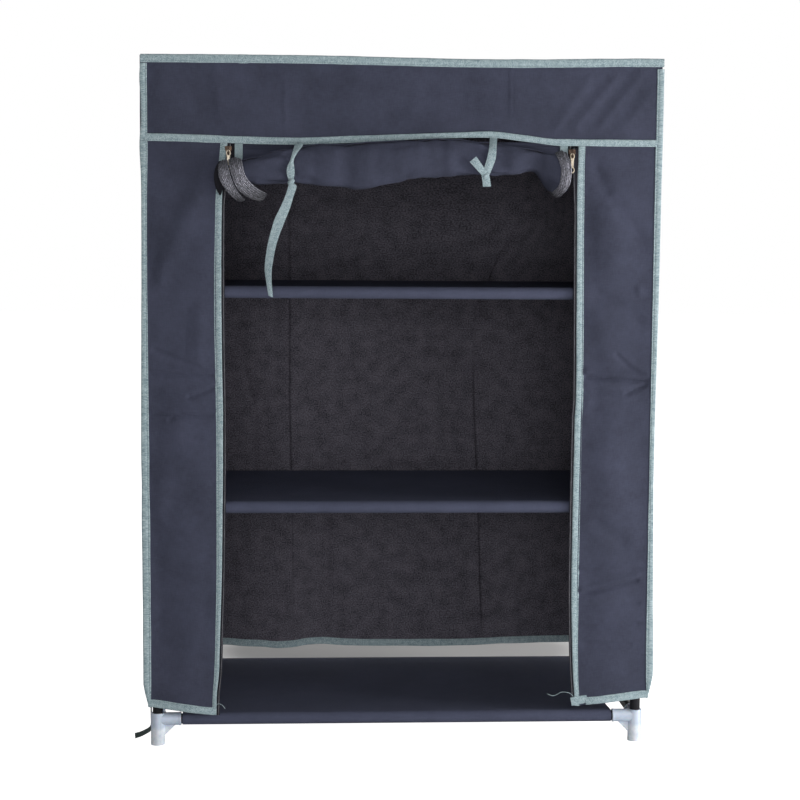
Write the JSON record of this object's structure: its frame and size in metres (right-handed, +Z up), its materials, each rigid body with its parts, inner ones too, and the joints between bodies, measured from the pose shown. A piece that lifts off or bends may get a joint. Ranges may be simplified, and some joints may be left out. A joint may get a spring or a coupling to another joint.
{
  "type": "portable fabric wardrobe",
  "caption": "Free-standing cloth wardrobe: steel tube rack in moulded corner sockets, cloth shelves, and a cover whose zipped front door rolls up.",
  "frame": {"origin": "on the floor, below the middle of the whole wardrobe", "axes": "+X to the right of someone who faces the door, -Y out of the door, +Z up"},
  "size_m": [0.6099, 0.3379, 0.8],
  "materials": {
    "socket_plastic": "satin injection-moulded plastic, pale blue-grey",
    "steel_tube": "black painted thin-wall steel tube, low gloss",
    "shelf_cloth": "dark navy-grey non-woven cloth",
    "cover_cloth": "dark slate-blue non-woven cloth, mottled dark grey inside",
    "tie_tape": "thin grey-green woven binding tape",
    "zip_metal": "antique brass, worn bright on its edges",
    "pull_metal": "ivory and gold enamel, slightly worn"
  },
  "bodies": {
    "rack": {"foot_socket_front_left": "socket_plastic", "foot_socket_front_right": "socket_plastic", "foot_socket_back_right": "socket_plastic", "foot_socket_back_left": "socket_plastic", "lower_middle_socket_front_left": "socket_plastic", "lower_middle_socket_front_right": "socket_plastic", "lower_middle_socket_back_right": "socket_plastic", "lower_middle_socket_back_left": "socket_plastic", "upper_middle_socket_front_left": "socket_plastic", "upper_middle_socket_front_right": "socket_plastic", "upper_middle_socket_back_right": "socket_plastic", "upper_middle_socket_back_left": "socket_plastic", "top_socket_front_left": "socket_plastic", "top_socket_front_right": "socket_plastic", "top_socket_back_right": "socket_plastic", "top_socket_back_left": "socket_plastic", "bottom_rail_front": "steel_tube", "bottom_rail_back": "steel_tube", "bottom_side_bar_left": "steel_tube", "bottom_side_bar_right": "steel_tube", "bottom_shelf_cloth": "shelf_cloth", "lower_rail_front": "steel_tube", "lower_rail_back": "steel_tube", "lower_side_bar_left": "steel_tube", "lower_side_bar_right": "steel_tube", "lower_shelf_cloth": "shelf_cloth", "upper_rail_front": "steel_tube", "upper_rail_back": "steel_tube", "upper_side_bar_left": "steel_tube", "upper_side_bar_right": "steel_tube", "upper_shelf_cloth": "shelf_cloth", "top_rail_front": "steel_tube", "top_rail_back": "steel_tube", "top_side_bar_left": "steel_tube", "top_side_bar_right": "steel_tube", "top_shelf_cloth": "shelf_cloth", "lower_post_front_left": "steel_tube", "lower_post_front_right": "steel_tube", "lower_post_back_right": "steel_tube", "lower_post_back_left": "steel_tube", "middle_post_front_left": "steel_tube", "middle_post_front_right": "steel_tube", "middle_post_back_right": "steel_tube", "middle_post_back_left": "steel_tube", "upper_post_front_left": "steel_tube", "upper_post_front_right": "steel_tube", "upper_post_back_right": "steel_tube", "upper_post_back_left": "steel_tube", "cover_left_side": "cover_cloth", "cover_right_side": "cover_cloth", "cover_back": "cover_cloth", "cover_top": "cover_cloth", "door_tie_left": "tie_tape", "door_tie_right": "tie_tape", "hem_tie_left": "tie_tape"},
    "door": {"door_roll": "cover_cloth"},
    "slider_left": {"zip_slider_left": "zip_metal"},
    "slider_right": {"zip_slider_right": "zip_metal"},
    "pull_left": {"zip_pull_left": "pull_metal"},
    "pull_right": {"zip_pull_right": "pull_metal"}
  },
  "joints": [
    {"name": "door_unroll", "type": "slide", "parent": "rack", "child": "door", "axis": [0, 0, -1], "range_m": [0, 0.6], "deforming": ["door_tie_left", "door_tie_right"]},
    {"name": "zip_left_travel", "type": "slide", "parent": "rack", "child": "slider_left", "axis": [0, 0, -1], "range_m": [0, 0.6]},
    {"name": "zip_right_travel", "type": "slide", "parent": "rack", "child": "slider_right", "axis": [0, 0, -1], "range_m": [0, 0.6]},
    {"name": "pull_left_swing", "type": "hinge", "parent": "slider_left", "child": "pull_left", "pos_m": [-0.1986, -0.14585, 0.6915], "axis": [-1, 0, 0], "range_deg": [0, 150]},
    {"name": "pull_right_swing", "type": "hinge", "parent": "slider_right", "child": "pull_right", "pos_m": [0.1954, -0.14585, 0.6915], "axis": [-1, 0, 0], "range_deg": [0, 150]}
  ],
  "couplings": [
    {"joint": "zip_left_travel", "follows": "door_unroll", "ratio": 1},
    {"joint": "zip_right_travel", "follows": "door_unroll", "ratio": 1}
  ]
}
